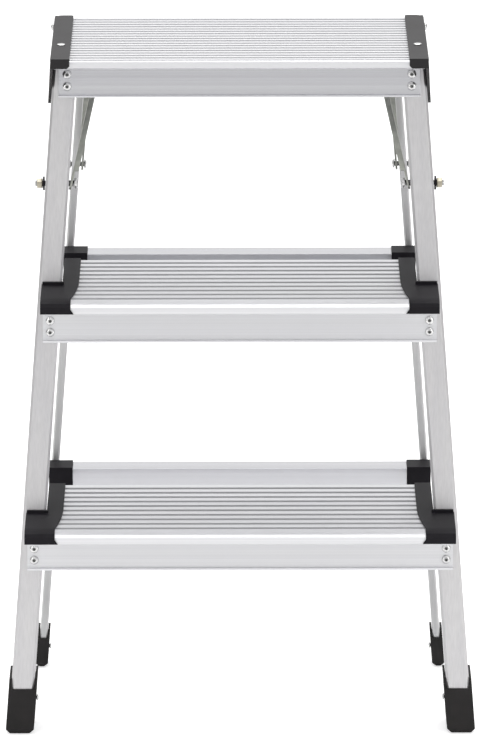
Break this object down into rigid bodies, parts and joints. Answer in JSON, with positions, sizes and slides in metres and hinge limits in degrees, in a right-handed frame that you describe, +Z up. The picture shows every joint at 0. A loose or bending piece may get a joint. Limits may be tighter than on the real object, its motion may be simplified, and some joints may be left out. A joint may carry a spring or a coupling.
{
  "type": "step ladder",
  "caption": "Folding aluminium step ladder with ribbed treads, a small ribbed platform, a narrow rear frame on hinge pins and knee-jointed side stays.",
  "frame": {"origin": "on the floor, at the middle of the footprint box", "axes": "+Z up; +X to the right seen from the front; the treads are climbed from the -Y side"},
  "size_m": [0.4758, 0.281, 0.6912],
  "materials": {
    "tread_aluminium": "satin anodised, ribbed",
    "stile_aluminium": "satin anodised, drawn lengthwise",
    "rail_aluminium": "satin anodised",
    "black_plastic": "fine grained moulding",
    "black_steel": "matt powder coat",
    "foot_rubber": "matt",
    "zinc_steel": "zinc plated",
    "nut_steel": "yellow zinc plated",
    "bright_steel": "bright"
  },
  "bodies": {
    "front_frame": {"front_stile_right": "stile_aluminium", "front_stile_left": "stile_aluminium", "platform_tread": "tread_aluminium", "platform_front_rail": "rail_aluminium", "hinge_bracket_right": "black_steel", "hinge_bracket_left": "black_steel", "bracket_rivet_right": "bright_steel", "bracket_rivet_left": "bright_steel", "bracket_screw_right": "bright_steel", "bracket_screw_left": "bright_steel", "hinge_pin_right": "bright_steel", "hinge_pin_left": "bright_steel", "middle_tread": "tread_aluminium", "lower_tread": "tread_aluminium", "middle_tread_cap_right": "black_plastic", "middle_tread_cap_left": "black_plastic", "lower_tread_cap_right": "black_plastic", "lower_tread_cap_left": "black_plastic", "platform_rivet_upper_right": "bright_steel", "platform_rivet_upper_left": "bright_steel", "platform_rivet_lower_right": "bright_steel", "platform_rivet_lower_left": "bright_steel", "middle_rivet_upper_right": "bright_steel", "middle_rivet_upper_left": "bright_steel", "middle_rivet_lower_right": "bright_steel", "middle_rivet_lower_left": "bright_steel", "lower_rivet_upper_right": "bright_steel", "lower_rivet_upper_left": "bright_steel", "lower_rivet_lower_right": "bright_steel", "lower_rivet_lower_left": "bright_steel", "front_foot_right": "foot_rubber", "front_foot_left": "foot_rubber", "front_foot_rivet_right": "bright_steel", "front_foot_rivet_left": "bright_steel", "stay_bolt_right": "bright_steel", "stay_bolt_left": "bright_steel", "stay_washer_right": "black_plastic", "stay_washer_left": "black_plastic", "stay_nut_right": "nut_steel", "stay_nut_left": "nut_steel"},
    "rear_frame": {"rear_stile_right": "stile_aluminium", "rear_stile_left": "stile_aluminium", "middle_rear_rail": "rail_aluminium", "lower_rear_rail": "rail_aluminium", "middle_rear_rail_cap_right": "black_plastic", "middle_rear_rail_cap_left": "black_plastic", "lower_rear_rail_cap_right": "black_plastic", "lower_rear_rail_cap_left": "black_plastic", "rear_foot_right": "foot_rubber", "rear_foot_left": "foot_rubber", "rear_foot_rivet_right": "bright_steel", "rear_foot_rivet_left": "bright_steel", "rear_stay_pin_right": "bright_steel", "rear_stay_pin_left": "bright_steel"},
    "right_front_stay": {"front_stay_link_right": "zinc_steel", "knee_rivet_right": "bright_steel"},
    "right_rear_stay": {"rear_stay_link_right": "zinc_steel"},
    "left_front_stay": {"front_stay_link_left": "zinc_steel", "knee_rivet_left": "bright_steel"},
    "left_rear_stay": {"rear_stay_link_left": "zinc_steel"}
  },
  "joints": [
    {"name": "rear_frame_fold", "type": "hinge", "parent": "front_frame", "child": "rear_frame", "pos_m": [0, 0.11502, 0.665], "axis": [-1, 0, 0], "range_deg": [0, 4.6]},
    {"name": "right_front_stay_pivot", "type": "hinge", "parent": "front_frame", "child": "right_front_stay", "pos_m": [0, -0.00148, 0.55], "axis": [-1, 0, 0], "range_deg": [-4, 0]},
    {"name": "right_rear_stay_pivot", "type": "hinge", "parent": "rear_frame", "child": "right_rear_stay", "pos_m": [0, 0.11502, 0.54], "axis": [-1, 0, 0], "range_deg": [-3, 0]},
    {"name": "left_front_stay_pivot", "type": "hinge", "parent": "front_frame", "child": "left_front_stay", "pos_m": [0, -0.00148, 0.55], "axis": [-1, 0, 0], "range_deg": [-4, 0]},
    {"name": "left_rear_stay_pivot", "type": "hinge", "parent": "rear_frame", "child": "left_rear_stay", "pos_m": [0, 0.11502, 0.54], "axis": [-1, 0, 0], "range_deg": [-3, 0]}
  ],
  "couplings": [
    {"joint": "right_front_stay_pivot", "follows": "rear_frame_fold", "ratio": -0.6085},
    {"joint": "right_rear_stay_pivot", "follows": "rear_frame_fold", "ratio": -0.3175},
    {"joint": "left_front_stay_pivot", "follows": "rear_frame_fold", "ratio": -0.6085},
    {"joint": "left_rear_stay_pivot", "follows": "rear_frame_fold", "ratio": -0.3175}
  ]
}
